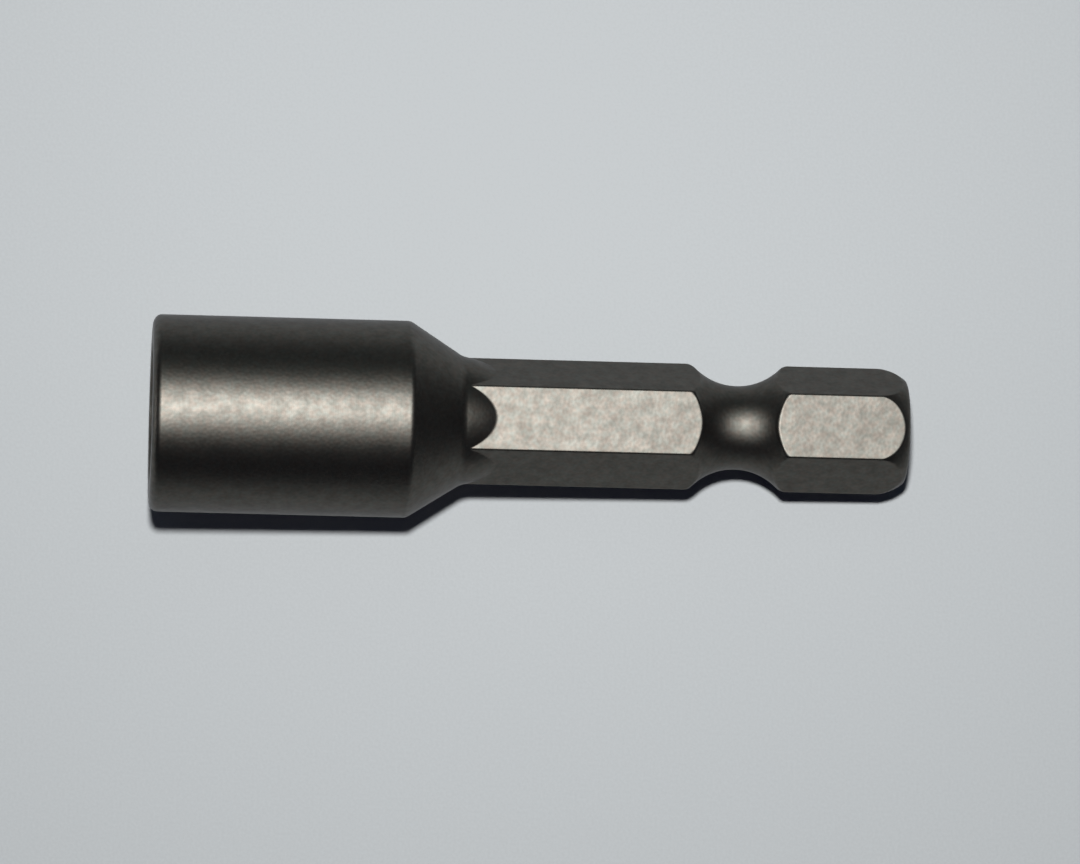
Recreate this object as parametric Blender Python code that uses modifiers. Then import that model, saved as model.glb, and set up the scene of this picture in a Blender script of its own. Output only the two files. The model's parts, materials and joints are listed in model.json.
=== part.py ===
"""Magnetic nut setter: a one-piece steel driver with a magnet bonded into its socket.

The tool lies along X. The origin is the centre of the shank's end face, the shank points along +X,
the socket opens towards -X, and one flat of the hexagonal shank faces +Z.

Each piece is modelled standing up, with the tool's axis on Z, the shank's end face at Z = 0 and the
socket's mouth below it. An empty then lays all of them along X.
"""
import math

import bmesh
import bpy
from mathutils import Vector

MM = 0.001

# Nut or screw head, and the hexagon that drives it
NUT_ACROSS_FLATS = 6.35 * MM
NUT_CLEARANCE = 0.12 * MM
NUT_SEAT_DEPTH = 7.35 * MM
BROACH_OVERRUN = 0.65 * MM
LEAD_IN_WIDTH = 0.35 * MM
LEAD_IN_ANGLE = math.radians(45.0)

# Socket round the hexagon, and the shoulder that leads to the shank
SOCKET_WALL = 1.935 * MM
SOCKET_FLOOR = 3.275 * MM
RIM_ROUNDING_ALONG = 0.5 * MM
RIM_ROUNDING_ACROSS = 0.7 * MM
SHOULDER_ANGLE = math.radians(32.5)
SHOULDER_EDGE_RADIUS = 0.6 * MM

# Crowned run-out from the shoulder's foot, proud of the shank's corners, down to its flats
RUN_OUT_STEP = 0.055 * MM
RUN_OUT_ANGLE = math.radians(16.4)
RUN_OUT_RADIUS = 12.0 * MM

# Drilled hole behind the hexagon, with the magnet and its bond
PILOT_UNDERSIZE = 0.12 * MM
DRILL_POINT_ANGLE = math.radians(118.0)
MAGNET_LENGTH = 4.0 * MM
MAGNET_EDGE_RADIUS = 0.3 * MM
BOND_THICKNESS = 0.175 * MM
BOND_GAP = 0.03 * MM
BOND_RIM_DROP = 0.4 * MM

# Hexagonal power shank
OVERALL_LENGTH = 43.6 * MM
SHANK_ACROSS_FLATS = 6.35 * MM
SHANK_CORNER_RADIUS = 0.15 * MM
NECK_DIAMETER = 4.82 * MM
GROOVE_RADIUS = 3.5 * MM
GROOVE_FROM_TAIL = 9.85 * MM
TAIL_CROWN_RADIUS = 3.0 * MM
TAIL_CROWN_LENGTH = 1.97 * MM
TAIL_EDGE_RADIUS = 0.4 * MM

# Finishes: colour, roughness and metalness
BLACKENED_STEEL = ((0.135, 0.128, 0.113), 0.47, 1.0)
NICKEL_PLATE = ((0.62, 0.58, 0.52), 0.3, 1.0)
CURED_EPOXY = ((0.045, 0.043, 0.04), 0.45, 0.0)

# Facets of round surfaces, and how far cutters reach past what they cut
TURN_STEPS = 72
FILLET_STEPS = 3
RIM_STEPS = 5
RUN_OUT_STEPS = 4
CROWN_STEPS = 5
GROOVE_STEPS = 14
CORNER_STEPS = 2
OVERCUT = 0.5 * MM
MERGE_DISTANCE = 0.001 * MM
SHARP_ANGLE = math.radians(12.0)

# Radii that follow from the hexagons
HEX_SIDES = 6
HEX_HALF_ANGLE = math.pi / HEX_SIDES
SOCKET_ACROSS_FLATS = NUT_ACROSS_FLATS + NUT_CLEARANCE
SOCKET_CORNER_RADIUS = SOCKET_ACROSS_FLATS / 2 / math.cos(HEX_HALF_ANGLE)
SOCKET_RADIUS = SOCKET_CORNER_RADIUS + SOCKET_WALL
LEAD_IN_RADIUS = SOCKET_CORNER_RADIUS + LEAD_IN_WIDTH
PILOT_RADIUS = (SOCKET_ACROSS_FLATS - PILOT_UNDERSIZE) / 2
MAGNET_RADIUS = PILOT_RADIUS - BOND_THICKNESS
SHANK_APOTHEM = SHANK_ACROSS_FLATS / 2
SHANK_CORNER = SHANK_APOTHEM / math.cos(HEX_HALF_ANGLE)
SHOULDER_FOOT_RADIUS = SHANK_CORNER + RUN_OUT_STEP

# Heights along the axis, from the mouth up to the tail at zero
MOUTH = -OVERALL_LENGTH
NUT_SEAT = MOUTH + NUT_SEAT_DEPTH
HEX_FLOOR = NUT_SEAT + BROACH_OVERRUN
MAGNET_BACK = NUT_SEAT + MAGNET_LENGTH
DRILLED_DEPTH = MAGNET_BACK + BOND_THICKNESS
SHOULDER_START = DRILLED_DEPTH + SOCKET_FLOOR
SHOULDER_END = SHOULDER_START + (SOCKET_RADIUS - SHOULDER_FOOT_RADIUS) / math.tan(SHOULDER_ANGLE)
GROOVE_CENTRE = -GROOVE_FROM_TAIL


def clear_scene():
    """Remove every object that the scene starts with."""
    for thing in list(bpy.data.objects):
        bpy.data.objects.remove(thing, do_unlink=True)


def new_collection(name):
    """A collection of this name, linked to the scene."""
    collection = bpy.data.collections.new(name)
    bpy.context.scene.collection.children.link(collection)
    return collection


def new_material(name, colour, roughness, metallic):
    """A Principled material of one colour and finish."""
    material = bpy.data.materials.new(name)
    material.use_nodes = True
    shader = material.node_tree.nodes["Principled BSDF"]
    shader.inputs["Base Color"].default_value = (*colour, 1.0)
    shader.inputs["Roughness"].default_value = roughness
    shader.inputs["Metallic"].default_value = metallic
    return material


def lay_along_x():
    """The empty that every piece hangs on: its Z axis is the tool's axis, laid along X."""
    axis = bpy.data.objects.new("tool_axis", None)
    axis.rotation_euler.y = math.pi / 2
    bpy.context.scene.collection.objects.link(axis)
    return axis


def arc(centre, radius, first, last, steps):
    """Points of an arc from one angle to another, where angle zero points away from the axis."""
    turns = [first + (last - first) * step / steps for step in range(steps + 1)]
    return [(centre[0] + radius * math.cos(turn), centre[1] + radius * math.sin(turn)) for turn in turns]


def fillet(before, corner, after, radius):
    """Points of the arc of this radius that rounds a corner between two straight lines."""
    corner = Vector(corner)
    to_before = (Vector(before) - corner).normalized()
    to_after = (Vector(after) - corner).normalized()
    half_angle = to_before.angle(to_after) / 2
    reach = radius / math.tan(half_angle)
    centre = corner + (to_before + to_after).normalized() * radius / math.sin(half_angle)
    first = (corner + to_before * reach - centre).normalized()
    last = (corner + to_after * reach - centre).normalized()
    turns = [step / FILLET_STEPS for step in range(FILLET_STEPS + 1)]
    return [tuple(centre + first.slerp(last, turn) * radius) for turn in turns]


def turned(name, profile, collection, axis):
    """A solid of revolution: the profile's points are radius and height, from the top down."""
    mesh = bpy.data.meshes.new(name)
    points = [(radius, 0.0, height) for radius, height in profile]
    mesh.from_pydata(points, [(i, i + 1) for i in range(len(points) - 1)], [])
    solid = bpy.data.objects.new(name, mesh)
    collection.objects.link(solid)
    solid.parent = axis
    screw = solid.modifiers.new("Turn", "SCREW")
    screw.axis = "Z"
    screw.steps = TURN_STEPS
    screw.render_steps = TURN_STEPS
    screw.use_merge_vertices = True
    screw.merge_threshold = MERGE_DISTANCE
    return solid


def hex_prism(name, across_flats, corner_radius, bottom, top, collection, axis):
    """A hexagonal bar with two flats facing along X and its corners rounded to a radius."""
    mesh = bpy.data.meshes.new(name)
    form = bmesh.new()
    corner = across_flats / 2 / math.cos(HEX_HALF_ANGLE)
    bmesh.ops.create_cone(
        form, cap_ends=True, segments=HEX_SIDES, radius1=corner, radius2=corner, depth=top - bottom)
    bmesh.ops.translate(form, verts=form.verts, vec=(0.0, 0.0, (top + bottom) / 2))
    if corner_radius > 0.0:
        upright = [edge for edge in form.edges if edge.verts[0].co.z != edge.verts[1].co.z]
        bmesh.ops.bevel(
            form, geom=upright, offset=corner_radius * math.tan(HEX_HALF_ANGLE),
            segments=CORNER_STEPS, profile=0.5, affect="EDGES")
    form.to_mesh(mesh)
    form.free()
    bar = bpy.data.objects.new(name, mesh)
    collection.objects.link(bar)
    bar.parent = axis
    return bar


def combine(target, tool, operation):
    """Add a Boolean of this kind to the target, and show its tool as a wireframe guide."""
    boolean = target.modifiers.new(tool.name, "BOOLEAN")
    boolean.operation = operation
    boolean.solver = "EXACT"
    boolean.object = tool
    tool.display_type = "WIRE"
    tool.hide_render = True


def finish(part, material):
    """Make the modifiers' result the part's own mesh, smooth between its real edges."""
    bpy.context.view_layer.update()
    evaluated = part.evaluated_get(bpy.context.evaluated_depsgraph_get())
    mesh = bpy.data.meshes.new_from_object(evaluated)
    mesh.name = part.name
    part.modifiers.clear()
    part.data = mesh
    mesh.shade_smooth()
    mesh.set_sharp_from_angle(angle=SHARP_ANGLE)
    mesh.materials.clear()
    mesh.materials.append(material)


def run_out_arc():
    """The run-out's crown, from inside the shank's flats down to the shoulder's foot."""
    chord = (SHOULDER_FOOT_RADIUS - SHANK_APOTHEM) / math.sin(RUN_OUT_ANGLE)
    foot_turn = RUN_OUT_ANGLE - math.asin(chord / 2 / RUN_OUT_RADIUS)
    centre_radius = SHOULDER_FOOT_RADIUS - RUN_OUT_RADIUS * math.cos(foot_turn)
    centre_height = SHOULDER_END - RUN_OUT_RADIUS * math.sin(foot_turn)
    inner_turn = math.acos((SHANK_APOTHEM - OVERCUT - centre_radius) / RUN_OUT_RADIUS)
    return arc((centre_radius, centre_height), RUN_OUT_RADIUS, inner_turn, foot_turn, RUN_OUT_STEPS)


def rim_rounding():
    """The mouth's outer edge: a quarter of an ellipse, from the socket's side round to its rim."""
    turns = [math.pi / 2 * step / RIM_STEPS for step in range(RIM_STEPS + 1)]
    return [
        (SOCKET_RADIUS - RIM_ROUNDING_ACROSS * (1 - math.cos(turn)),
         MOUTH + RIM_ROUNDING_ALONG * (1 - math.sin(turn)))
        for turn in turns
    ]


def head_profile():
    """Socket, shoulder and the run-out that dies away on the shank's flats, from the top down."""
    run_out = run_out_arc()
    rim = rim_rounding()
    return [
        (0.0, run_out[0][1]),
        *run_out,
        *fillet(run_out[-1], (SOCKET_RADIUS, SHOULDER_START), rim[0], SHOULDER_EDGE_RADIUS),
        *rim,
        (0.0, MOUTH),
    ]


def tail_crown():
    """The tail's rounding, from the edge of its end face down to the shank's corners."""
    centre = (SHANK_CORNER - TAIL_CROWN_RADIUS, -TAIL_CROWN_LENGTH)
    reach = TAIL_CROWN_RADIUS - TAIL_EDGE_RADIUS
    edge_turn = math.asin((TAIL_CROWN_LENGTH - TAIL_EDGE_RADIUS) / reach)
    edge_centre = (centre[0] + reach * math.cos(edge_turn), -TAIL_EDGE_RADIUS)
    edge = arc(edge_centre, TAIL_EDGE_RADIUS, math.pi / 2, edge_turn, FILLET_STEPS)
    crown = arc(centre, TAIL_CROWN_RADIUS, edge_turn, 0.0, CROWN_STEPS)
    return edge + crown[1:]


def groove_arc(outer_radius):
    """The ball groove, from its tail side to its socket side, where it leaves outer_radius."""
    centre = (NECK_DIAMETER / 2 + GROOVE_RADIUS, GROOVE_CENTRE)
    sweep = math.acos((centre[0] - outer_radius) / GROOVE_RADIUS)
    return arc(centre, GROOVE_RADIUS, math.pi - sweep, math.pi + sweep, GROOVE_STEPS)


def shank_profile():
    """What turning leaves of the hexagonal bar: its rounded tail and the ball groove."""
    outer_radius = SHANK_CORNER + OVERCUT
    bottom = SHOULDER_START - OVERCUT
    return [
        (0.0, 0.0),
        *tail_crown(),
        (outer_radius, -TAIL_CROWN_LENGTH),
        *groove_arc(outer_radius),
        (outer_radius, bottom),
        (0.0, bottom),
    ]


def bore_profile():
    """The drilled hole with its point, and the countersink that leads the nut in at the mouth."""
    point = DRILLED_DEPTH + PILOT_RADIUS / math.tan(DRILL_POINT_ANGLE / 2)
    lead_in_end = MOUTH + (LEAD_IN_RADIUS - PILOT_RADIUS) / math.tan(LEAD_IN_ANGLE)
    below_mouth = MOUTH - OVERCUT
    return [
        (0.0, point),
        (PILOT_RADIUS, DRILLED_DEPTH),
        (PILOT_RADIUS, lead_in_end),
        (LEAD_IN_RADIUS + OVERCUT * math.tan(LEAD_IN_ANGLE), below_mouth),
        (0.0, below_mouth),
    ]


def driver_body(parts, cutters, axis):
    """Socket, shoulder and shank in one: a hexagonal bar, turned, headed, broached and drilled."""
    body = hex_prism(
        "driver_body", SHANK_ACROSS_FLATS, SHANK_CORNER_RADIUS, SHOULDER_START, OVERCUT, parts, axis)
    combine(body, turned("turned_shank", shank_profile(), cutters, axis), "INTERSECT")
    combine(body, turned("turned_head", head_profile(), cutters, axis), "UNION")
    broach = hex_prism(
        "hex_broach", SOCKET_ACROSS_FLATS, 0.0, MOUTH - OVERCUT, HEX_FLOOR, cutters, axis)
    combine(body, broach, "DIFFERENCE")
    combine(body, turned("drill_and_lead_in", bore_profile(), cutters, axis), "DIFFERENCE")
    finish(body, new_material("blackened_steel", *BLACKENED_STEEL))


def magnet(parts, axis):
    """Plated disc magnet whose face stops the nut, with its origin at its centre."""
    half = MAGNET_LENGTH / 2
    back, back_edge = (0.0, half), (MAGNET_RADIUS, half)
    face, face_edge = (0.0, -half), (MAGNET_RADIUS, -half)
    profile = [
        back,
        *fillet(back, back_edge, face_edge, MAGNET_EDGE_RADIUS),
        *fillet(back_edge, face_edge, face, MAGNET_EDGE_RADIUS),
        face,
    ]
    disc = turned("magnet", profile, parts, axis)
    disc.location.z = NUT_SEAT + half
    finish(disc, new_material("nickel_plate", *NICKEL_PLATE))


def magnet_adhesive(parts, axis):
    """Cured bond: fills the drill point and rises round the magnet, with its origin under the magnet."""
    half_point = DRILL_POINT_ANGLE / 2
    outer_radius = PILOT_RADIUS - BOND_GAP
    inner_radius = MAGNET_RADIUS + BOND_GAP
    point_drop = BOND_GAP * (1 / math.sin(half_point) - 1 / math.tan(half_point))
    shoulder = DRILLED_DEPTH - MAGNET_BACK - point_drop
    rim = HEX_FLOOR + BOND_RIM_DROP - MAGNET_BACK
    profile = [
        (0.0, shoulder + outer_radius / math.tan(half_point)),
        (outer_radius, shoulder),
        (outer_radius, rim),
        (inner_radius, rim),
        (inner_radius, BOND_GAP),
        (0.0, BOND_GAP),
    ]
    bond = turned("magnet_adhesive", profile, parts, axis)
    bond.location.z = MAGNET_BACK
    finish(bond, new_material("cured_epoxy", *CURED_EPOXY))


def main():
    clear_scene()
    parts = new_collection("nut_setter")
    cutters = new_collection("nut_setter_cutters")
    axis = lay_along_x()
    driver_body(parts, cutters, axis)
    magnet(parts, axis)
    magnet_adhesive(parts, axis)


main()
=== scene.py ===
"""Nut setter: finished surfaces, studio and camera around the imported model.

All lengths are in metres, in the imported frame: the tool's axis is X, the origin is the centre of the
shank's end face, the socket opens towards -X and one flat of the hexagonal shank faces +Z.
"""
import json
import math

import bpy
import numpy as np
from mathutils import Matrix, Vector


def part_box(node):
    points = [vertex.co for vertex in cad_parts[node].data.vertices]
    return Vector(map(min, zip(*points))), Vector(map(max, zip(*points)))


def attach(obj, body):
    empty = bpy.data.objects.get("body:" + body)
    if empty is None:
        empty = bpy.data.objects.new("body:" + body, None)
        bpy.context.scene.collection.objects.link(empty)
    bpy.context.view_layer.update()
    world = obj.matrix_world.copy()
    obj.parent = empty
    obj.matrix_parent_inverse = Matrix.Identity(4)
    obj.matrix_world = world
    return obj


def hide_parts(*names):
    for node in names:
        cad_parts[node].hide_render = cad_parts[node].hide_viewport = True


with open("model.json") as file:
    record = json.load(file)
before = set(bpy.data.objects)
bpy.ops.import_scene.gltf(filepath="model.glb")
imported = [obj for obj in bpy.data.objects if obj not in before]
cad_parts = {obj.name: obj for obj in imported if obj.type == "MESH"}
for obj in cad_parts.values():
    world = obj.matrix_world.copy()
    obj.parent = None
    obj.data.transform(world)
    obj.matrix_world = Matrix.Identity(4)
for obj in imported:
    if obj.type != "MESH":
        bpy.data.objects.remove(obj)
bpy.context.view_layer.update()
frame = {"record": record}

MM = 0.001
HEX_SIDES = 6
HEX_SECTOR = math.tau / HEX_SIDES
HEX_HALF = HEX_SECTOR / 2

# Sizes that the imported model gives
MOUNTS = {mount["name"]: Vector(mount["pos_m"]) for mount in frame["record"]["mounts"]}
BODY_LOW, BODY_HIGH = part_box("driver_body")
MAGNET_LOW, MAGNET_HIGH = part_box("magnet")
BOND_LOW, BOND_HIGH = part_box("magnet_adhesive")
MOUTH = BODY_LOW.x
SOCKET_RADIUS = BODY_HIGH.z
SHANK_APOTHEM = MOUNTS["shank_flat"].z
NUT_SEAT = MOUNTS["nut_seat"].x
MAGNET_RADIUS = MAGNET_HIGH.z

# Outside of the body
SOCKET_LENGTH = 14.8 * MM
RIM_ROUNDING_ALONG = 0.5 * MM
RIM_ROUNDING_ACROSS = 0.7 * MM
SHOULDER_ANGLE = math.radians(32.5)
SHOULDER_EDGE_RADIUS = 0.6 * MM
RUN_OUT_STEP = 0.055 * MM
RUN_OUT_ANGLE = math.radians(16.4)
RUN_OUT_RADIUS = 12.0 * MM
SHANK_CORNER_RADIUS = 0.15 * MM
NECK_RADIUS = 2.41 * MM
GROOVE_RADIUS = 3.5 * MM
GROOVE_CENTRE = -9.85 * MM
TAIL_CROWN_RADIUS = 3.0 * MM
TAIL_CROWN_LENGTH = 1.97 * MM
TAIL_EDGE_RADIUS = 0.4 * MM

# Inside of the socket
SOCKET_APOTHEM = 3.235 * MM
LEAD_IN_WIDTH = 0.35 * MM
LEAD_IN_ANGLE = math.radians(45.0)
BROACH_OVERRUN = 0.65 * MM
PILOT_RADIUS = 3.175 * MM
DRILL_HALF_ANGLE = math.radians(59.0)
BOND_THICKNESS = 0.175 * MM
BOND_GAP = 0.03 * MM

# Widths of the rounded edges, and the most of a short side that a rounding and the row beyond it take
EDGE_WIDTH = 0.1 * MM
FOOT_WIDTH = 0.2 * MM
MAGNET_EDGE_WIDTH = 0.3 * MM
BOND_EDGE_WIDTH = 0.02 * MM
RUBBED_RADIUS = 0.55 * MM
SUPPORT = 0.05 * MM
MOST_ROUNDED = 0.4
MOST_SUPPORTED = 0.45

# Fineness of the finished mesh
FLAT_STEPS = 32
CORNER_STEPS = 4
EDGE_STEPS = 6
TAIL_FACE_STEPS = 4
CROWN_STEPS = 10
TAIL_FLAT_STEPS = 6
GROOVE_STEPS = 36
LONG_FLAT_STEPS = 12
RUN_OUT_STEPS = 8
SHOULDER_STEPS = 4
SOCKET_STEPS = 10
HEXAGON_STEPS = 6
BORE_STEPS = 4
DRILL_POINT_STEPS = 3
TURNED_STEPS = 3

# How far an edge is rubbed
SLIGHT_WEAR = 0.5
PLAIN_WEAR = 0.6
HEAVY_WEAR = 0.8
FULL_WEAR = 1.0

# Finishes along the body: drawn flats, turned surfaces and the ball groove's rough floor
DRAWN = 0.0
TURNED = 0.5
GROOVED = 1.0

# Blackened steel. Scales are in features a metre, colours run from dark to light spots, and a relief is
# a depth and a strength.
CLOUD_SCALE = 900.0
MOTTLE_SCALE = 1700.0
SCUFF_SCALE = 2600.0
HUE_SCALE = 3200.0
GRAIN_SCALE = 5000.0
FEED_SCALE = 14000.0
NOISE_RANGE = (0.3, 0.7)
HUE_RANGE = (0.35, 0.65)
SCUFF_RANGE = (0.42, 0.62)
WARM_OXIDE = ((0.096, 0.085, 0.073), (0.131, 0.117, 0.101))
COOL_OXIDE = ((0.089, 0.087, 0.076), (0.119, 0.119, 0.106))
RUBBED_STEEL = (0.27, 0.26, 0.24)
STEEL_EDGE_TINT = (0.72, 0.72, 0.74, 1.0)
GRAIN_IN_TONE = 0.4
FEED_IN_RELIEF = 0.2
HAZE_SHARE = 0.5
RUBBED_SHARE = 0.25
DRAWN_ROUGHNESS = 0.458
TURNED_ROUGHNESS = 0.455
GROOVE_ROUGHENING = 0.04
MOTTLE_ROUGHENING = 0.013
CLOUD_ROUGHENING = 0.01
RUBBED_SMOOTHING = 0.05
OXIDE_RELIEF = (0.0046 * MM, 1.0)

# Nickel plate
FILM_SCALE = 700.0
PIT_SCALE = 6000.0
FILM_TONE_RANGE = (0.35, 0.7)
FILM_SHINE_RANGE = (0.3, 0.75)
PIT_RANGE = (0.4, 0.6)
BRIGHT_NICKEL = (0.66, 0.62, 0.55)
DULL_NICKEL = (0.48, 0.45, 0.40)
WORN_NICKEL = (0.33, 0.31, 0.29)
NICKEL_ROUGHNESS = (0.22, 0.42)
NICKEL_WEAR = 0.7
NICKEL_WEAR_ROUGHENING = 0.12
NICKEL_RELIEF = (0.003 * MM, 0.3)

# Cured epoxy
SWIRL_SCALE = 2200.0
EPOXY_COLOURS = ((0.035, 0.033, 0.03), (0.06, 0.057, 0.05))
EPOXY_ROUGHNESS = (0.35, 0.5)
EPOXY_RELIEF = (0.01 * MM, 0.4)

# Table top: a pool of light painted into its colour, palest round one place and darkening with distance
# from it, as painted shade
SPECKLE_SCALE = 6000.0
SPECKLE_TONE = 0.035
TABLE_NEAR = (0.535, 0.559, 0.569)
TABLE_PAINTED_DIM = (0.150, 0.160, 0.164)
TABLE_ROUGHNESS = 0.7
TABLE_SPECULAR = 0.2
TABLE_RELIEF = (0.01 * MM, 0.3)
PAINTED_POOL_CENTRE = (5.0 * MM, 16.0 * MM, 0.0)
PAINTED_POOL_REACH = 99.0 * MM

# Where the tool touches the table: the socket's back edge and the end of the shank's lower flat
SOCKET_CONTACT = Vector((MOUTH + SOCKET_LENGTH, 0.0, -SOCKET_RADIUS))
TAIL_SINK = SHANK_APOTHEM / math.cos(HEX_HALF) - SHANK_APOTHEM
TAIL_RISE = math.sqrt(TAIL_CROWN_RADIUS ** 2 - (TAIL_CROWN_RADIUS - TAIL_SINK) ** 2)
TAIL_CONTACT = Vector((TAIL_RISE - TAIL_CROWN_LENGTH, 0.0, -SHANK_APOTHEM))
TABLE_SLOPE = math.atan2(TAIL_CONTACT.z - SOCKET_CONTACT.z, TAIL_CONTACT.x - SOCKET_CONTACT.x)
TABLE_SIZE = 8.0
TABLE_DROP = 0.02 * MM

# The camera, almost straight above the tool; its lens and sensor are in millimetres, as Blender takes them
CAMERA_TOWARDS_SOCKET = math.radians(4.2)
CAMERA_TOWARDS_FRONT = math.radians(3.81)
CAMERA_ROLL = math.radians(-1.215)
CAMERA_DISTANCE = 420.0 * MM
CAMERA_AIM = Vector((-21.16 * MM, -0.535 * MM, 0.0))
CAMERA_LENS = 242.8
CAMERA_SENSOR = 36.0
CAMERA_NEAREST = 0.01
CAMERA_FARTHEST = 50.0

# One small lamp beside the camera, towards the back, and a weak one in front of the mouth. A level of pi
# would show a colour that faces the lamp as it is written.
LAMP_PLACE = Vector((-57.0 * MM, 40.0 * MM, 415.0 * MM))
LAMP_WIDTH = 28.0 * MM
LAMP_LEVEL = 3.33
FILL_PLACE = Vector((-540.0 * MM, 0.0, 0.0))
FILL_WIDTH = 60.0 * MM
FILL_LEVEL = 0.2

# A dim room, a little lighter high up at the back
ROOM_COLOUR = (0.0104, 0.0115, 0.023)
GLOW_COLOUR = (0.065, 0.09, 0.095)
GLOW_HEIGHT = math.radians(45.0)
GLOW_REACH = math.radians(45.0)


def off_flat(angles):
    """How far each angle is from the middle of its flat; one flat is centred on angle zero."""
    return np.abs((angles + HEX_HALF) % HEX_SECTOR - HEX_HALF)


def flat_end(apothem, corner_radius):
    """The angle from the middle of a flat to its end, where the rounded corner starts."""
    return math.atan((apothem - corner_radius) * math.tan(HEX_HALF) / apothem)


def hexagon_radius(angles, apothem, corner_radius):
    """Radius of a hexagon with rounded corners at each angle."""
    from_flat = off_flat(angles)
    from_corner = HEX_HALF - from_flat
    centre = (apothem - corner_radius) / math.cos(HEX_HALF)
    inside = np.maximum(corner_radius ** 2 - (centre * np.sin(from_corner)) ** 2, 0.0)
    rounded = centre * np.cos(from_corner) + np.sqrt(inside)
    return np.where(from_flat > flat_end(apothem, corner_radius), rounded, apothem / np.cos(from_flat))


def rubbed_width(angles):
    """Width of the groove's rounded edge at each angle: it grows where a flat's corner is rubbed round."""
    from_corner = SHANK_APOTHEM * (math.tan(HEX_HALF) - np.tan(off_flat(angles)))
    inside = np.clip(RUBBED_RADIUS - np.hypot(from_corner, SHANK_CORNER_RADIUS), 0.0, RUBBED_RADIUS)
    return (EDGE_WIDTH + RUBBED_RADIUS - np.sqrt(RUBBED_RADIUS ** 2 - inside ** 2))[:, None]


def sector_angles():
    """Angles round the axis: even steps over each flat and close ones round each corner."""
    end = flat_end(SHANK_APOTHEM, SHANK_CORNER_RADIUS)
    near_corner = 2 * end - HEX_HALF
    flat = np.linspace(-near_corner, near_corner, FLAT_STEPS + 1)
    corner = np.linspace(end, HEX_HALF, CORNER_STEPS + 1)
    one = np.concatenate([-corner[1:][::-1], [-end], flat, [end], corner[1:-1]])
    return np.concatenate([one + HEX_SECTOR * sector for sector in range(HEX_SIDES)])


def crest(share):
    """One in the middle of a rounding, and zero at its ends."""
    return 4 * share * (1 - share)


def inset(width, length, radius):
    """The turn of an arc, at most half of it, that a rounding at its end and the row beyond it take."""
    return np.minimum(width + SUPPORT, length / 2) / radius


class Profile:
    """Stations of a lofted surface: each holds a place along the axis and a radius for every angle."""

    def __init__(self, angles):
        self.angles = angles
        self.stations = []
        self.labels = []

    def point(self, x, radius):
        """One place and radius for every angle, given as numbers or as one value an angle."""
        flat = np.zeros_like(self.angles)
        return np.stack([flat + x, flat + radius], axis=1)

    def on_arc(self, centre, radius, turn):
        """The place on an arc that turns from the outward direction towards the tail by this angle."""
        return self.point(centre[0] + radius * np.sin(turn), centre[1] + radius * np.cos(turn))

    def off_arc(self, centre, radius, turn, reach):
        """The place this far along the tangent at a turn of an arc; a negative reach turns back."""
        return self.on_arc(centre, radius, turn) + self.point(reach * np.cos(turn), -reach * np.sin(turn))

    def add(self, station, wear=0.0, finish=TURNED):
        """One station, with how worn it is and which finish it has."""
        self.stations.append(station)
        self.labels.append((wear, finish))

    def run(self, start, end, steps, finish=TURNED):
        """Even stations strictly between two points."""
        for step in range(1, steps):
            self.add(start + (end - start) * step / steps, 0.0, finish)

    def arc(self, centre, radius, first, last, steps, wear=0.0, finish=TURNED):
        """Even stations strictly between two turns of an arc."""
        for step in range(1, steps):
            share = step / steps
            turn = first + (last - first) * share
            self.add(self.on_arc(centre, radius, turn), wear * crest(share), finish)

    def corner(self, before, corner, after, width=EDGE_WIDTH, wear=0.0, finish=TURNED, end_width=None):
        """Round a corner with an arc that touches both of its sides, and stand a row off each end."""
        if end_width is None:
            end_width = width
        to_before, to_after = before - corner, after - corner
        before_length = np.linalg.norm(to_before, axis=1, keepdims=True)
        after_length = np.linalg.norm(to_after, axis=1, keepdims=True)
        to_before, to_after = to_before / before_length, to_after / after_length
        bulge = np.sqrt((1 - np.sum(to_before * to_after, axis=1, keepdims=True)) / 2)
        start = to_before * np.minimum(width, MOST_ROUNDED * before_length)
        end = to_after * np.minimum(end_width, MOST_ROUNDED * after_length)
        row_before = to_before * np.minimum(width + SUPPORT, MOST_SUPPORTED * before_length)
        row_after = to_after * np.minimum(end_width + SUPPORT, MOST_SUPPORTED * after_length)
        self.add(corner + row_before, 0.0, finish)
        for step in range(EDGE_STEPS + 1):
            share = step / EDGE_STEPS
            weight = (1 - share) ** 2 + 2 * share * (1 - share) * bulge + share ** 2
            place = corner + ((1 - share) ** 2 * start + share ** 2 * end) / weight
            self.add(place, wear * crest(share), finish)
        self.add(corner + row_after, 0.0, finish)


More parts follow.
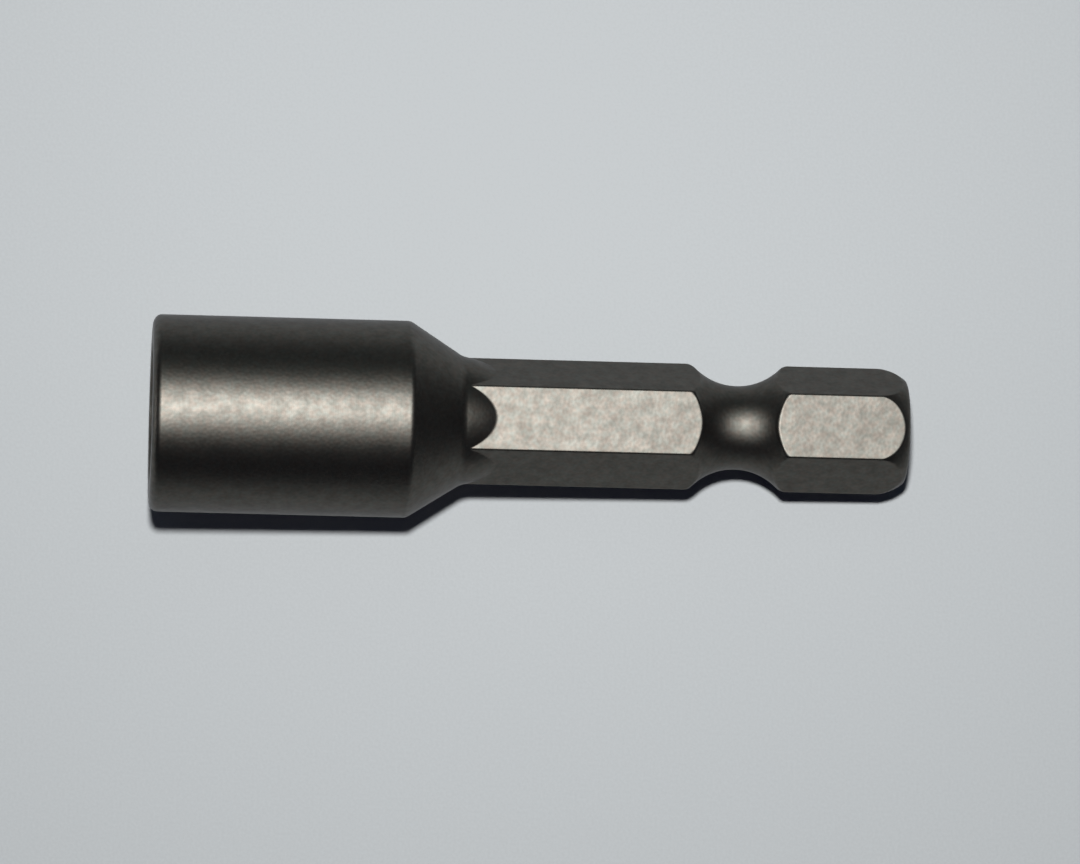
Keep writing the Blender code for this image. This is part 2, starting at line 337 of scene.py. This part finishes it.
def body_profile(angles):
    """The driver body's stations, from the middle of its tail, over the outside, to the drill point."""
    profile = Profile(angles)
    point, on_arc, off_arc = profile.point, profile.on_arc, profile.off_arc
    shank = hexagon_radius(angles, SHANK_APOTHEM, SHANK_CORNER_RADIUS)
    socket = hexagon_radius(angles, SOCKET_APOTHEM, SHANK_CORNER_RADIUS)
    shank_corner = SHANK_APOTHEM / math.cos(HEX_HALF)
    lead_in = SOCKET_APOTHEM / math.cos(HEX_HALF) + LEAD_IN_WIDTH
    hex_floor = NUT_SEAT + BROACH_OVERRUN
    drilled = MAGNET_HIGH.x + BOND_THICKNESS
    drill_point = drilled + PILOT_RADIUS / math.tan(DRILL_HALF_ANGLE)

    # Tail: a small arc round its end face, then the crown, down to each flat
    crown_centre = (-TAIL_CROWN_LENGTH, shank_corner - TAIL_CROWN_RADIUS)
    crown_reach = TAIL_CROWN_RADIUS - TAIL_EDGE_RADIUS
    edge_turn = math.asin((TAIL_CROWN_LENGTH - TAIL_EDGE_RADIUS) / crown_reach)
    edge_centre = (-TAIL_EDGE_RADIUS, crown_centre[1] + crown_reach * math.cos(edge_turn))
    crown_turn = np.arccos((shank - crown_centre[1]) / TAIL_CROWN_RADIUS)
    crown_length = (edge_turn - crown_turn) * TAIL_CROWN_RADIUS
    crown_stop = crown_turn + inset(EDGE_WIDTH, crown_length, TAIL_CROWN_RADIUS)
    tail_middle = point(0.0, 0.0)
    tail_edge = point(0.0, edge_centre[1])
    crown_end = on_arc(crown_centre, TAIL_CROWN_RADIUS, crown_turn)
    crown_before = off_arc(crown_centre, TAIL_CROWN_RADIUS, crown_turn, crown_length)

    # Ball groove
    groove_centre = (GROOVE_CENTRE, NECK_RADIUS + GROOVE_RADIUS)
    half_sweep = np.arccos((groove_centre[1] - shank) / GROOVE_RADIUS)
    groove_edge = rubbed_width(angles)
    inner_sweep = half_sweep - (groove_edge[:, 0] + SUPPORT) / GROOVE_RADIUS
    groove_tail = on_arc(groove_centre, GROOVE_RADIUS, math.pi - half_sweep)
    groove_socket = on_arc(groove_centre, GROOVE_RADIUS, math.pi + half_sweep)
    groove_after = off_arc(groove_centre, GROOVE_RADIUS, math.pi - half_sweep, GROOVE_RADIUS)
    groove_before = off_arc(groove_centre, GROOVE_RADIUS, math.pi + half_sweep, -GROOVE_RADIUS)
    floor_start, floor_stop = math.pi - inner_sweep, math.pi + inner_sweep

    # Shoulder and the run-out that dies away on the flats
    foot_radius = shank_corner + RUN_OUT_STEP
    shoulder_start = MOUTH + SOCKET_LENGTH
    shoulder_end = shoulder_start + (SOCKET_RADIUS - foot_radius) / math.tan(SHOULDER_ANGLE)
    chord = (foot_radius - SHANK_APOTHEM) / math.sin(RUN_OUT_ANGLE)
    foot_turn = RUN_OUT_ANGLE - math.asin(chord / 2 / RUN_OUT_RADIUS)
    run_out_centre = (
        shoulder_end - RUN_OUT_RADIUS * math.sin(foot_turn),
        foot_radius - RUN_OUT_RADIUS * math.cos(foot_turn),
    )
    run_out_turn = np.arccos((shank - run_out_centre[1]) / RUN_OUT_RADIUS)
    run_out_length = (run_out_turn - foot_turn) * RUN_OUT_RADIUS
    run_out_start = run_out_turn - inset(EDGE_WIDTH, run_out_length, RUN_OUT_RADIUS)
    run_out_stop = foot_turn + inset(FOOT_WIDTH, run_out_length, RUN_OUT_RADIUS)
    run_out = on_arc(run_out_centre, RUN_OUT_RADIUS, run_out_turn)
    run_out_after = off_arc(run_out_centre, RUN_OUT_RADIUS, run_out_turn, -run_out_length)
    foot_before = off_arc(run_out_centre, RUN_OUT_RADIUS, foot_turn, run_out_length)
    shoulder_foot = point(shoulder_end, foot_radius)
    shoulder_top = point(shoulder_start, SOCKET_RADIUS)
    shoulder_edge = SHOULDER_EDGE_RADIUS * math.tan(SHOULDER_ANGLE / 2)

    # Mouth, broached hexagon and drilled hole
    rim = point(MOUTH, SOCKET_RADIUS)
    lead_in_edge = point(MOUTH, lead_in)
    hex_start = point(MOUTH + (lead_in - socket) / math.tan(LEAD_IN_ANGLE), socket)
    hex_end = point(hex_floor, socket)
    bore_start = point(hex_floor, PILOT_RADIUS)
    bore_end = point(drilled, PILOT_RADIUS)
    bore_point = point(drill_point, 0.0)

    # Stations of the tail and the shank
    profile.run(tail_middle, tail_edge, TAIL_FACE_STEPS)
    profile.add(tail_edge)
    profile.arc(edge_centre, TAIL_EDGE_RADIUS, math.pi / 2, edge_turn, EDGE_STEPS, PLAIN_WEAR)
    profile.arc(crown_centre, TAIL_CROWN_RADIUS, edge_turn, crown_stop, CROWN_STEPS)
    profile.corner(crown_before, crown_end, groove_tail, wear=SLIGHT_WEAR, finish=DRAWN)
    profile.run(crown_end, groove_tail, TAIL_FLAT_STEPS, DRAWN)
    profile.corner(crown_end, groove_tail, groove_after, groove_edge, PLAIN_WEAR, DRAWN)
    profile.arc(groove_centre, GROOVE_RADIUS, floor_start, floor_stop, GROOVE_STEPS, finish=GROOVED)
    profile.corner(groove_before, groove_socket, run_out, groove_edge, PLAIN_WEAR, DRAWN)
    profile.run(groove_socket, run_out, LONG_FLAT_STEPS, DRAWN)
    profile.corner(groove_socket, run_out, run_out_after, finish=DRAWN)

    # Stations of the head
    profile.arc(run_out_centre, RUN_OUT_RADIUS, run_out_start, run_out_stop, RUN_OUT_STEPS)
    profile.corner(foot_before, shoulder_foot, shoulder_top, FOOT_WIDTH)
    profile.run(shoulder_foot, shoulder_top, SHOULDER_STEPS)
    profile.corner(shoulder_foot, shoulder_top, rim, shoulder_edge, SLIGHT_WEAR)
    profile.run(shoulder_top, rim, SOCKET_STEPS)
    profile.corner(
        shoulder_top, rim, lead_in_edge, RIM_ROUNDING_ALONG, SLIGHT_WEAR, end_width=RIM_ROUNDING_ACROSS)

    # Stations of the inside
    profile.corner(rim, lead_in_edge, hex_start, wear=HEAVY_WEAR)
    profile.corner(lead_in_edge, hex_start, hex_end, wear=PLAIN_WEAR)
    profile.run(hex_start, hex_end, HEXAGON_STEPS, DRAWN)
    profile.corner(hex_start, hex_end, bore_start)
    profile.corner(hex_end, bore_start, bore_end)
    profile.run(bore_start, bore_end, BORE_STEPS)
    profile.corner(bore_start, bore_end, bore_point)
    profile.run(bore_end, bore_point, DRILL_POINT_STEPS)
    return profile, 0.0, drill_point


def loft(name, profile, first_x, last_x):
    """A closed mesh through a profile's stations, with a point on the axis at each end."""
    stations = np.array(profile.stations)
    count, around = stations.shape[:2]
    x, radius = stations[..., 0], stations[..., 1]
    places = np.stack([x, radius * np.sin(profile.angles), radius * np.cos(profile.angles)], axis=2)
    points = np.concatenate([[[first_x, 0.0, 0.0]], places.reshape(-1, 3), [[last_x, 0.0, 0.0]]])
    first, last = 0, len(points) - 1
    bottom = 1 + (count - 1) * around
    faces = []
    for column in range(around):
        beside = (column + 1) % around
        faces.append((first, 1 + column, 1 + beside))
        for row in range(count - 1):
            here, there = 1 + row * around, 1 + (row + 1) * around
            faces.append((here + column, there + column, there + beside, here + beside))
        faces.append((last, bottom + beside, bottom + column))
    mesh = bpy.data.meshes.new(name)
    mesh.from_pydata(points.tolist(), [], faces)
    for label, values in zip(("wear", "finish"), zip(*profile.labels)):
        rows = np.repeat(values, around)
        layer = mesh.attributes.new(label, "FLOAT", "POINT")
        layer.data.foreach_set("value", np.concatenate([rows[:1], rows, rows[-1:]]).astype(np.float32))
    mesh.shade_smooth()
    piece = bpy.data.objects.new(name, mesh)
    bpy.context.scene.collection.objects.link(piece)
    return piece


def turned_piece(name, corners, width, angles):
    """A turned piece through sharp profile corners given as places and radii, all rounded by one width."""
    profile = Profile(angles)
    points = [profile.point(x, radius) for x, radius in corners]
    for before, corner, after in zip(points, points[1:], points[2:]):
        profile.run(before, corner, TURNED_STEPS)
        profile.corner(before, corner, after, width, FULL_WEAR)
    profile.run(points[-2], points[-1], TURNED_STEPS)
    return loft(name, profile, corners[0][0], corners[-1][0])


def new_material(name):
    """A material with nodes, its tree and its Principled shader."""
    material = bpy.data.materials.new(name)
    material.use_nodes = True
    tree = material.node_tree
    return material, tree, tree.nodes["Principled BSDF"]


def node(tree, kind, values=None, **settings):
    """Add a node, with settings on the node and values on its inputs."""
    made = tree.nodes.new(kind)
    for key, value in settings.items():
        setattr(made, key, value)
    for key, value in (values or {}).items():
        made.inputs[key].default_value = value
    return made


def link(tree, receiver, sources):
    """Link each source to the receiver's input of that name or number."""
    for key, source in sources.items():
        tree.links.new(source, receiver.inputs[key])


def surface_place(tree):
    """The place on the surface, in metres."""
    return node(tree, "ShaderNodeTexCoord").outputs["Object"]


def label_value(tree, name):
    """The value of one of the mesh's labels."""
    return node(tree, "ShaderNodeAttribute", attribute_name=name).outputs["Fac"]


def noise(tree, vector, scale, detail=2.0, roughness=0.5):
    """A noise texture's value over a vector, at a scale in features a metre."""
    texture = node(tree, "ShaderNodeTexNoise", {"Scale": scale, "Detail": detail, "Roughness": roughness})
    link(tree, texture, {"Vector": vector})
    return texture.outputs["Fac"]


def turning_lines(tree, place):
    """Fine lines round the axis, as a turning tool's feed leaves them."""
    along = node(tree, "ShaderNodeSeparateXYZ")
    link(tree, along, {"Vector": place})
    lines = node(tree, "ShaderNodeTexNoise", {"Scale": FEED_SCALE, "Detail": 2.0}, noise_dimensions="1D")
    link(tree, lines, {"W": along.outputs["X"]})
    return lines.outputs["Fac"]


def ramp(tree, value, source, target=(0.0, 1.0)):
    """Map a value from one range to another, clamped."""
    mapped = node(tree, "ShaderNodeMapRange", {
        "From Min": source[0], "From Max": source[1], "To Min": target[0], "To Max": target[1]})
    link(tree, mapped, {"Value": value})
    return mapped.outputs["Result"]


def math_node(tree, operation, first, second):
    """One arithmetic node; each side is a socket or a number."""
    made = node(tree, "ShaderNodeMath", operation=operation)
    for slot, value in zip(made.inputs, (first, second)):
        if isinstance(value, (int, float)):
            slot.default_value = value
        else:
            tree.links.new(value, slot)
    return made.outputs["Value"]


def blend(tree, first, share, second):
    """Two values mixed, with this share of the second."""
    kept = math_node(tree, "MULTIPLY", first, 1.0 - share)
    return math_node(tree, "ADD", kept, math_node(tree, "MULTIPLY", second, share))


def mix_colour(tree, factor, first, second):
    """Mix two colours; each is a socket or a colour."""
    made = node(tree, "ShaderNodeMix", data_type="RGBA")
    link(tree, made, {"Factor": factor})
    sockets = [s for s in made.inputs if s.type == "RGBA"]
    for slot, value in zip(sockets, (first, second)):
        if isinstance(value, tuple):
            slot.default_value = (*value, 1.0)
        else:
            tree.links.new(value, slot)
    return [s for s in made.outputs if s.type == "RGBA"][0]


def relief(tree, height, depth, strength):
    """The normal of a surface that a height from zero to one raises by this depth."""
    bump = node(tree, "ShaderNodeBump", {"Strength": strength, "Distance": depth})
    link(tree, bump, {"Height": height})
    return bump.outputs["Normal"]


def blackened_steel():
    """Satin steel under black oxide: mottled, finely pitted, faintly turned, rubbed along its edges."""
    material, tree, haze = new_material("blackened_steel")
    place = surface_place(tree)
    finish = label_value(tree, "finish")
    cloud = noise(tree, place, CLOUD_SCALE, detail=3.0)
    mottle = noise(tree, place, MOTTLE_SCALE, detail=1.0)
    hue = noise(tree, place, HUE_SCALE, detail=1.0)
    grain = noise(tree, place, GRAIN_SCALE, detail=0.0)
    scuff = noise(tree, place, SCUFF_SCALE, detail=4.0, roughness=0.65)

    # Colour: warm and cool oxide with dark and light spots, and paler steel where it is rubbed
    tone = ramp(tree, blend(tree, mottle, GRAIN_IN_TONE, grain), NOISE_RANGE)
    warm = mix_colour(tree, tone, *WARM_OXIDE)
    cool = mix_colour(tree, tone, *COOL_OXIDE)
    oxide = mix_colour(tree, ramp(tree, hue, HUE_RANGE), warm, cool)
    worn = math_node(tree, "MULTIPLY", label_value(tree, "wear"), ramp(tree, scuff, SCUFF_RANGE))
    colour = mix_colour(tree, math_node(tree, "MULTIPLY", worn, RUBBED_SHARE), oxide, RUBBED_STEEL)

    # Roughness: by finish, a little uneven, and smoother where it is rubbed
    roughness = ramp(tree, finish, (DRAWN, TURNED), (DRAWN_ROUGHNESS, TURNED_ROUGHNESS))
    for change in (
        ramp(tree, finish, (TURNED, GROOVED), (0.0, GROOVE_ROUGHENING)),
        ramp(tree, mottle, NOISE_RANGE, (MOTTLE_ROUGHENING, -MOTTLE_ROUGHENING)),
        ramp(tree, cloud, NOISE_RANGE, (CLOUD_ROUGHENING, -CLOUD_ROUGHENING)),
        math_node(tree, "MULTIPLY", worn, -RUBBED_SMOOTHING),
    ):
        roughness = math_node(tree, "ADD", roughness, change)

    # Relief: grain all over, and turning lines where it isn't drawn
    turned = ramp(tree, finish, (DRAWN, TURNED))
    feed = math_node(tree, "MULTIPLY", turning_lines(tree, place), turned)
    normal = relief(tree, blend(tree, grain, FEED_IN_RELIEF, feed), *OXIDE_RELIEF)

    # Shine: a sharp lobe and a hazy one, with the same colour, roughness and relief
    haze.distribution = "GGX"
    haze.inputs["Metallic"].default_value = 1.0
    haze.inputs["Specular Tint"].default_value = STEEL_EDGE_TINT
    core = node(tree, "ShaderNodeBsdfMetallic", distribution="BECKMANN", fresnel_type="F82")
    core.inputs["Edge Tint"].default_value = STEEL_EDGE_TINT
    both = node(tree, "ShaderNodeMixShader", {"Fac": HAZE_SHARE})
    for lobe in (core, haze):
        link(tree, lobe, {"Base Color": colour, "Roughness": roughness, "Normal": normal})
    link(tree, both, {1: core.outputs["BSDF"], 2: haze.outputs["BSDF"]})
    link(tree, tree.nodes["Material Output"], {"Surface": both.outputs["Shader"]})
    return material


def nickel_plate():
    """Bright plating on the magnet, dulled by handling and finely pitted."""
    material, tree, shader = new_material("nickel_plate")
    place = surface_place(tree)
    film = noise(tree, place, FILM_SCALE, detail=4.0, roughness=0.6)
    pits = noise(tree, place, PIT_SCALE)
    scuffed = ramp(tree, pits, PIT_RANGE, (0.0, NICKEL_WEAR))
    worn = math_node(tree, "MULTIPLY", label_value(tree, "wear"), scuffed)
    plating = mix_colour(tree, ramp(tree, film, FILM_TONE_RANGE), BRIGHT_NICKEL, DULL_NICKEL)
    colour = mix_colour(tree, worn, plating, WORN_NICKEL)
    dulled = ramp(tree, film, FILM_SHINE_RANGE, NICKEL_ROUGHNESS)
    roughened = math_node(tree, "MULTIPLY", worn, NICKEL_WEAR_ROUGHENING)
    roughness = math_node(tree, "ADD", dulled, roughened)
    normal = relief(tree, pits, *NICKEL_RELIEF)
    link(tree, shader, {"Base Color": colour, "Roughness": roughness, "Normal": normal})
    shader.inputs["Metallic"].default_value = 1.0
    return material


def cured_epoxy():
    """Dark cured adhesive, half glossy and slightly uneven."""
    material, tree, shader = new_material("cured_epoxy")
    swirl = noise(tree, surface_place(tree), SWIRL_SCALE, detail=3.0)
    colour = mix_colour(tree, ramp(tree, swirl, NOISE_RANGE), *EPOXY_COLOURS)
    roughness = ramp(tree, swirl, NOISE_RANGE, EPOXY_ROUGHNESS)
    normal = relief(tree, swirl, *EPOXY_RELIEF)
    link(tree, shader, {"Base Color": colour, "Roughness": roughness, "Normal": normal})
    return material


def table_with_painted_pool():
    """The pale blue-grey table top, faintly speckled, with a pool of light painted into its colour that
    darkens with distance.
    """
    material, tree, shader = new_material("table_with_painted_pool")
    place = surface_place(tree)
    speckle = noise(tree, place, SPECKLE_SCALE)
    # Painted pool of light: the colour is palest round one place and darkens with distance, as painted
    # shade far off
    away = node(tree, "ShaderNodeVectorMath", {1: PAINTED_POOL_CENTRE}, operation="DISTANCE")
    link(tree, away, {0: place})
    square = math_node(tree, "POWER", away.outputs["Value"], 2.0)
    pool_of_painted_light = math_node(tree, "DIVIDE", PAINTED_POOL_REACH ** 2, math_node(tree, "ADD", square, PAINTED_POOL_REACH ** 2))
    tone = math_node(tree, "ADD", pool_of_painted_light, ramp(tree, speckle, NOISE_RANGE, (-SPECKLE_TONE, SPECKLE_TONE)))
    colour = mix_colour(tree, tone, TABLE_PAINTED_DIM, TABLE_NEAR)
    link(tree, shader, {"Base Color": colour, "Normal": relief(tree, speckle, *TABLE_RELIEF)})
    shader.inputs["Roughness"].default_value = TABLE_ROUGHNESS
    shader.inputs["Specular IOR Level"].default_value = TABLE_SPECULAR
    return material


def dress(piece, node_name, material):
    """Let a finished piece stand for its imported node."""
    piece.data.materials.append(material)
    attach(piece, "root")
    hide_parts(node_name)


def make_body(angles):
    """The driver body: tail, shank, head and the inside of its socket, in one piece."""
    profile, first_x, last_x = body_profile(angles)
    body = loft("finished_body", profile, first_x, last_x)
    dress(body, "driver_body", blackened_steel())


def make_magnet(angles):
    """The plated disc whose face is the seat for the nut."""
    corners = [
        (MAGNET_HIGH.x, 0.0),
        (MAGNET_HIGH.x, MAGNET_RADIUS),
        (MAGNET_LOW.x, MAGNET_RADIUS),
        (MAGNET_LOW.x, 0.0),
    ]
    disc = turned_piece("plated_magnet", corners, MAGNET_EDGE_WIDTH, angles)
    dress(disc, "magnet", nickel_plate())


def make_bond(angles):
    """The bond that fills the drill point and the gap round the magnet."""
    outer, inner = BOND_HIGH.z, MAGNET_RADIUS + BOND_GAP
    shoulder = BOND_HIGH.x - outer / math.tan(DRILL_HALF_ANGLE)
    corners = [
        (BOND_HIGH.x, 0.0),
        (shoulder, outer),
        (BOND_LOW.x, outer),
        (BOND_LOW.x, inner),
        (MAGNET_HIGH.x + BOND_GAP, inner),
        (MAGNET_HIGH.x + BOND_GAP, 0.0),
    ]
    bond = turned_piece("cured_bond", corners, BOND_EDGE_WIDTH, angles)
    dress(bond, "magnet_adhesive", cured_epoxy())


def make_camera():
    """The camera, leaning a little towards the socket and the front, and rolled as the photo is."""
    x, y = -math.sin(CAMERA_TOWARDS_SOCKET), -math.sin(CAMERA_TOWARDS_FRONT)
    back = Vector((x, y, math.sqrt(1.0 - x * x - y * y)))
    right = Vector((0.0, 1.0, 0.0)).cross(back).normalized()
    upward = back.cross(right)
    turn = Matrix((right, upward, back)).transposed() @ Matrix.Rotation(-CAMERA_ROLL, 3, "Z")
    data = bpy.data.cameras.new("camera")
    data.lens = CAMERA_LENS
    data.sensor_width = CAMERA_SENSOR
    data.sensor_fit = "HORIZONTAL"
    data.clip_start = CAMERA_NEAREST
    data.clip_end = CAMERA_FARTHEST
    camera = bpy.data.objects.new("camera", data)
    camera.matrix_world = Matrix.Translation(CAMERA_AIM + back * CAMERA_DISTANCE) @ turn.to_4x4()
    bpy.context.scene.collection.objects.link(camera)
    bpy.context.scene.camera = camera


def make_table():
    """The table, sloped so that it touches the tool's socket and its tail."""
    half = TABLE_SIZE / 2
    corners = [(-half, -half, 0.0), (half, -half, 0.0), (half, half, 0.0), (-half, half, 0.0)]
    mesh = bpy.data.meshes.new("table")
    mesh.from_pydata(corners, [], [(0, 1, 2, 3)])
    mesh.materials.append(table_with_painted_pool())
    table = bpy.data.objects.new("table", mesh)
    table.location = SOCKET_CONTACT - Vector((0.0, 0.0, TABLE_DROP))
    table.rotation_euler = (0.0, -TABLE_SLOPE, 0.0)
    bpy.context.scene.collection.objects.link(table)


def add_lamp(name, place, aim, width, level):
    """A round lamp that lights the place it is aimed at to this level."""
    reach = place - aim
    data = bpy.data.lights.new(name, "AREA")
    data.shape = "DISK"
    data.size = width
    data.energy = level * math.pi * reach.length_squared
    lamp = bpy.data.objects.new(name, data)
    lamp.location = place
    lamp.rotation_euler = reach.to_track_quat("Z", "Y").to_euler()
    bpy.context.scene.collection.objects.link(lamp)


def make_light():
    """Both lamps, and the dim room with its faint glow."""
    add_lamp("lamp", LAMP_PLACE, CAMERA_AIM, LAMP_WIDTH, LAMP_LEVEL)
    add_lamp("socket_fill", FILL_PLACE, Vector((MOUTH, 0.0, 0.0)), FILL_WIDTH, FILL_LEVEL)
    world = bpy.data.worlds.new("room")
    world.use_nodes = True
    tree = world.node_tree
    glow_centre = (0.0, math.cos(GLOW_HEIGHT), math.sin(GLOW_HEIGHT))
    towards_glow = node(tree, "ShaderNodeVectorMath", {1: glow_centre}, operation="DOT_PRODUCT")
    link(tree, towards_glow, {0: node(tree, "ShaderNodeTexCoord").outputs["Generated"]})
    glow = ramp(tree, towards_glow.outputs["Value"], (math.cos(GLOW_REACH), 1.0))
    room = mix_colour(tree, glow, ROOM_COLOUR, GLOW_COLOUR)
    link(tree, tree.nodes["Background"], {"Color": room})
    bpy.context.scene.world = world


ring = sector_angles()
make_body(ring)
make_magnet(ring)
make_bond(ring)
make_camera()
make_table()
make_light()
bpy.context.scene.view_settings.view_transform = "Standard"
